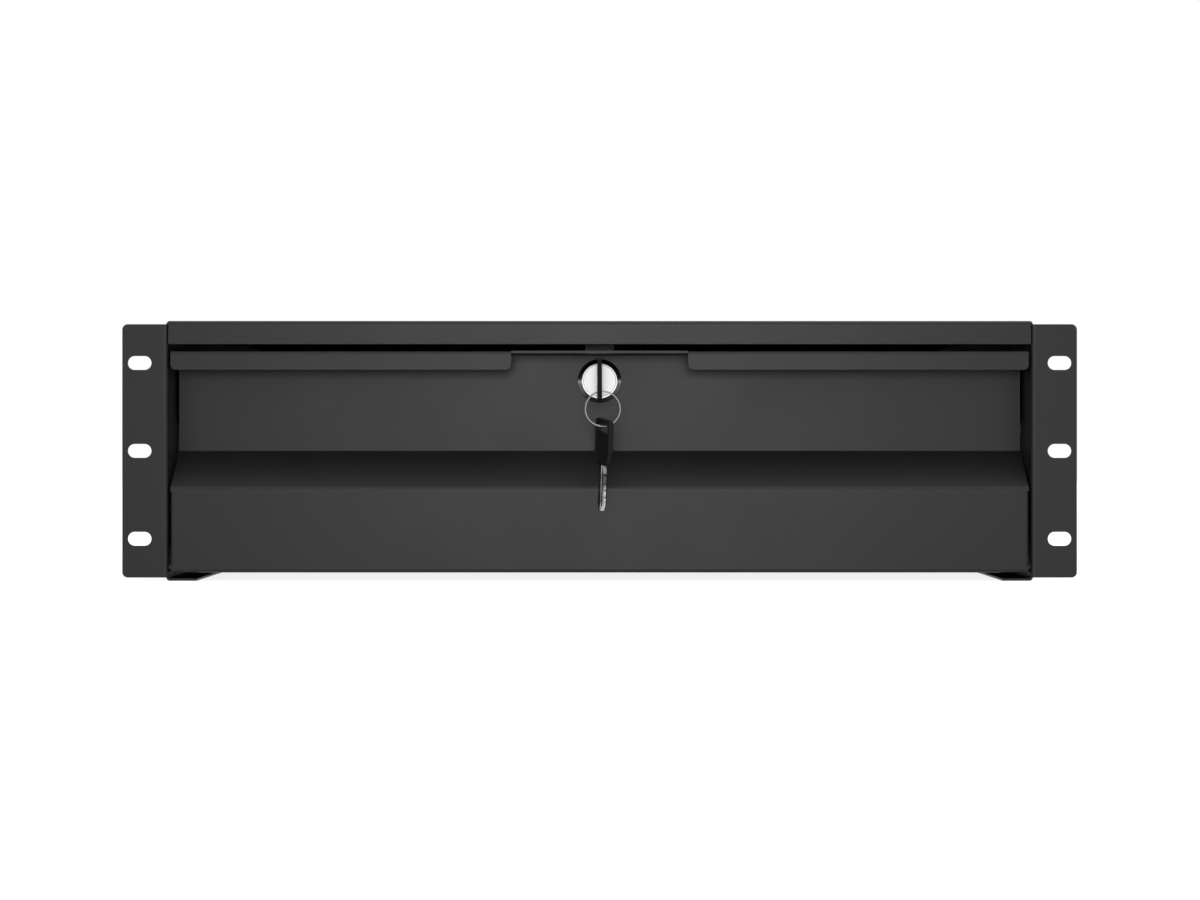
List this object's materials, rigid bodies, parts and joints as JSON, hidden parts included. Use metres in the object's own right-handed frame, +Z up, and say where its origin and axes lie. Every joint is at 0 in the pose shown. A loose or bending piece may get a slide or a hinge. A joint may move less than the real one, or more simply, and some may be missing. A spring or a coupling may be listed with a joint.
{
  "type": "sliding rack drawer",
  "caption": "Lockable steel drawer for a 19-inch rack: folded case with slotted ears, recessed front with finger pulls, cam lock with keys, on ball-bearing slides.",
  "frame": {"origin": "middle of the rack slot pattern, on the rear face of the ears", "axes": "+X to the right of someone facing the front, +Y to the back of the rack, +Z up"},
  "size_m": [0.4826, 0.4202, 0.1316],
  "materials": {
    "powder_coat": "fine-textured semi-matt black powder coat on folded steel",
    "zinc_steel": "bright zinc plate",
    "ball_steel": "polished bearing steel",
    "lock_chrome": "satin chrome on die-cast zinc",
    "key_plastic": "black moulded plastic",
    "key_steel": "nickel-plated steel",
    "bumper_rubber": "moulded black rubber",
    "rivet_aluminium": "drawn aluminium"
  },
  "bodies": {
    "case": {"case_shell": "powder_coat", "rear_panel": "powder_coat", "rear_rivets": "rivet_aluminium", "case_screws": "zinc_steel", "lock_strike": "powder_coat", "outer_rail_left": "zinc_steel", "outer_rail_right": "zinc_steel", "rear_bumper_left": "bumper_rubber", "rear_bumper_right": "bumper_rubber"},
    "drawer": {"drawer_front": "powder_coat", "drawer_tray": "powder_coat", "drawer_back": "powder_coat", "back_rivets": "rivet_aluminium", "tray_screws": "zinc_steel", "inner_rail_left": "zinc_steel", "inner_rail_right": "zinc_steel", "lock_body": "lock_chrome", "lock_washer": "zinc_steel", "lock_nut": "zinc_steel"},
    "lock_plug": {"lock_plug": "lock_chrome", "lock_cam": "zinc_steel", "cam_washer": "zinc_steel", "cam_screw": "zinc_steel", "key_head": "key_plastic", "key_blade": "key_steel"},
    "key_ring": {"key_ring": "key_steel"},
    "spare_key": {"spare_key_head": "key_plastic", "spare_key_blade": "key_steel"},
    "middle_rail_left": {"middle_rail_left": "zinc_steel"},
    "outer_cage_left": {"outer_cage_left": "zinc_steel", "outer_balls_left": "ball_steel"},
    "inner_cage_left": {"inner_cage_left": "zinc_steel", "inner_balls_left": "ball_steel"},
    "middle_rail_right": {"middle_rail_right": "zinc_steel"},
    "outer_cage_right": {"outer_cage_right": "zinc_steel", "outer_balls_right": "ball_steel"},
    "inner_cage_right": {"inner_cage_right": "zinc_steel", "inner_balls_right": "ball_steel"}
  },
  "joints": [
    {"name": "drawer_slide", "type": "slide", "parent": "case", "child": "drawer", "axis": [0, -1, 0], "range_m": [0, 0.35]},
    {"name": "middle_rail_left_slide", "type": "slide", "parent": "case", "child": "middle_rail_left", "axis": [0, -1, 0], "range_m": [0, 0.175]},
    {"name": "outer_cage_left_slide", "type": "slide", "parent": "case", "child": "outer_cage_left", "axis": [0, -1, 0], "range_m": [0, 0.0875]},
    {"name": "inner_cage_left_slide", "type": "slide", "parent": "case", "child": "inner_cage_left", "axis": [0, -1, 0], "range_m": [0, 0.2625]},
    {"name": "middle_rail_right_slide", "type": "slide", "parent": "case", "child": "middle_rail_right", "axis": [0, -1, 0], "range_m": [0, 0.175]},
    {"name": "outer_cage_right_slide", "type": "slide", "parent": "case", "child": "outer_cage_right", "axis": [0, -1, 0], "range_m": [0, 0.0875]},
    {"name": "inner_cage_right_slide", "type": "slide", "parent": "case", "child": "inner_cage_right", "axis": [0, -1, 0], "range_m": [0, 0.2625]},
    {"name": "lock_turn", "type": "hinge", "parent": "drawer", "child": "lock_plug", "pos_m": [0, 0.0168, 0.03605], "axis": [0, 1, 0], "range_deg": [0, 90]},
    {"name": "ring_hang", "type": "hinge", "parent": "lock_plug", "child": "key_ring", "pos_m": [0.00085, -0.0073, 0.0259], "axis": [0, 1, 0], "range_deg": [-90, 0]},
    {"name": "spare_key_swing", "type": "hinge", "parent": "key_ring", "child": "spare_key", "pos_m": [0.0016, -0.0073, 0.01255], "axis": [1, 0, 0], "range_deg": [-60, 1]}
  ],
  "couplings": [
    {"joint": "middle_rail_left_slide", "follows": "drawer_slide", "ratio": 0.5},
    {"joint": "outer_cage_left_slide", "follows": "drawer_slide", "ratio": 0.25},
    {"joint": "inner_cage_left_slide", "follows": "drawer_slide", "ratio": 0.75},
    {"joint": "middle_rail_right_slide", "follows": "drawer_slide", "ratio": 0.5},
    {"joint": "outer_cage_right_slide", "follows": "drawer_slide", "ratio": 0.25},
    {"joint": "inner_cage_right_slide", "follows": "drawer_slide", "ratio": 0.75},
    {"joint": "ring_hang", "follows": "lock_turn", "ratio": -1}
  ]
}
